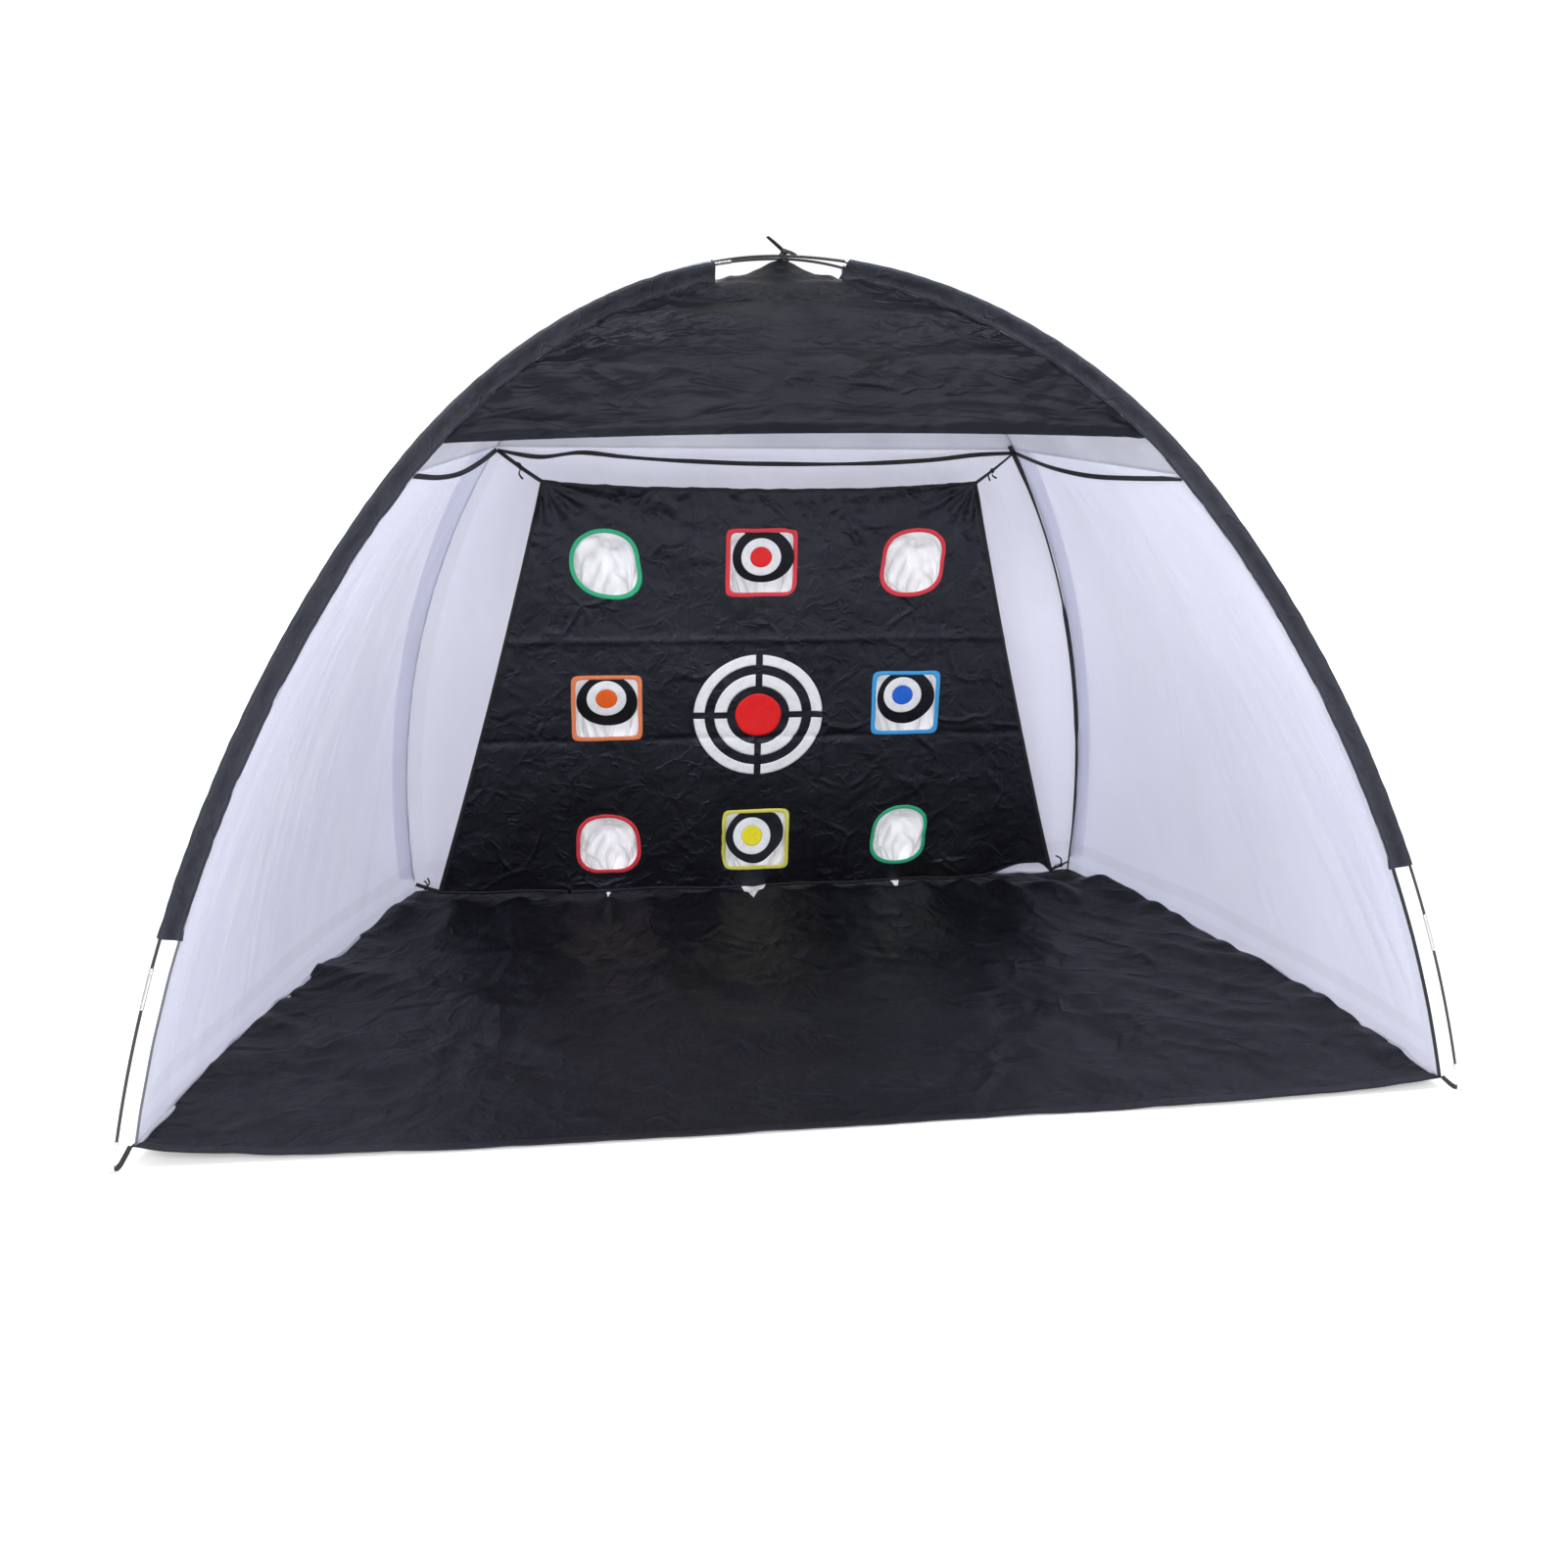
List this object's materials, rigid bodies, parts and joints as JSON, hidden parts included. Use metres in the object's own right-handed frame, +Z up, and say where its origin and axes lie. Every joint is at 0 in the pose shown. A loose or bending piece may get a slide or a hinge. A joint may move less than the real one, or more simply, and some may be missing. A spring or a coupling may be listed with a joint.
{
  "type": "golf chipping net",
  "caption": "Pop-up half-dome golf chipping net with net walls, a hanging target sheet with pocket openings, and target flaps that swing.",
  "frame": {"origin": "on the ground, midway across and midway between front and back", "axes": "+X to the player's right, +Y away from the player, +Z up"},
  "size_m": [3.0566, 1.7978, 1.926],
  "materials": {
    "fibreglass": "satin",
    "steel": "satin",
    "black_webbing": "matte woven",
    "black_polyester": "semi-gloss coated",
    "white_polyester": "matte",
    "white_mesh": "open mesh",
    "target_cloth": "matte",
    "white_print": "printed",
    "red_print": "printed",
    "orange_print": "printed",
    "blue_print": "printed",
    "yellow_print": "printed",
    "red_binding": "woven tape",
    "green_binding": "woven tape",
    "orange_binding": "woven tape",
    "blue_binding": "woven tape",
    "yellow_binding": "woven tape"
  },
  "bodies": {
    "tent": {"apex_tie": "black_webbing", "bullseye_centre": "red_print", "bullseye_rings": "white_print", "corner_straps": "black_webbing", "crown_patch": "white_polyester", "eye_pins": "steel", "floor_sheet": "black_polyester", "front_binding_left": "black_webbing", "front_binding_right": "black_webbing", "front_sleeve_left": "black_polyester", "front_sleeve_right": "black_polyester", "net_wall_left": "white_mesh", "net_wall_rear": "white_mesh", "net_wall_right": "white_mesh", "pocket_net_bottom_centre": "white_mesh", "pocket_net_bottom_left": "white_mesh", "pocket_net_bottom_right": "white_mesh", "pocket_net_middle_left": "white_mesh", "pocket_net_middle_right": "white_mesh", "pocket_net_top_centre": "white_mesh", "pocket_net_top_left": "white_mesh", "pocket_net_top_right": "white_mesh", "pocket_trim_bottom_centre": "yellow_binding", "pocket_trim_bottom_left": "red_binding", "pocket_trim_bottom_right": "green_binding", "pocket_trim_middle_left": "orange_binding", "pocket_trim_middle_right": "blue_binding", "pocket_trim_top_centre": "red_binding", "pocket_trim_top_left": "green_binding", "pocket_trim_top_right": "red_binding", "pole_a_ferrules": "steel", "pole_a_rods": "fibreglass", "pole_b_ferrules": "steel", "pole_b_rods": "fibreglass", "rear_seam_binding": "black_webbing", "rear_sleeve_left": "white_polyester", "rear_sleeve_right": "white_polyester", "roof_left": "white_polyester", "roof_rear": "white_polyester", "roof_right": "white_polyester", "seam_tape_left": "black_webbing", "seam_tape_rear": "black_webbing", "seam_tape_right": "black_webbing", "target_sheet": "target_cloth", "target_ties": "black_webbing", "valance": "black_polyester", "valance_hem": "black_polyester"},
    "red_flap": {"flap_red": "target_cloth", "flap_red_ring": "white_print", "flap_red_spot": "red_print"},
    "orange_flap": {"flap_orange": "target_cloth", "flap_orange_ring": "white_print", "flap_orange_spot": "orange_print"},
    "blue_flap": {"flap_blue": "target_cloth", "flap_blue_ring": "white_print", "flap_blue_spot": "blue_print"},
    "yellow_flap": {"flap_yellow": "target_cloth", "flap_yellow_ring": "white_print", "flap_yellow_spot": "yellow_print"}
  },
  "joints": [
    {"name": "red_flap_hinge", "type": "hinge", "parent": "tent", "child": "red_flap", "pos_m": [0, 0.57195, 1.13822], "axis": [1, 0, 0], "range_deg": [-75, 30]},
    {"name": "orange_flap_hinge", "type": "hinge", "parent": "tent", "child": "orange_flap", "pos_m": [-0.443, 0.64277, 0.70092], "axis": [1, 0, 0], "range_deg": [-75, 30]},
    {"name": "blue_flap_hinge", "type": "hinge", "parent": "tent", "child": "blue_flap", "pos_m": [0.443, 0.64277, 0.70092], "axis": [1, 0, 0], "range_deg": [-75, 30]},
    {"name": "yellow_flap_hinge", "type": "hinge", "parent": "tent", "child": "yellow_flap", "pos_m": [0, 0.7136, 0.26361], "axis": [1, 0, 0], "range_deg": [-75, 15]}
  ]
}
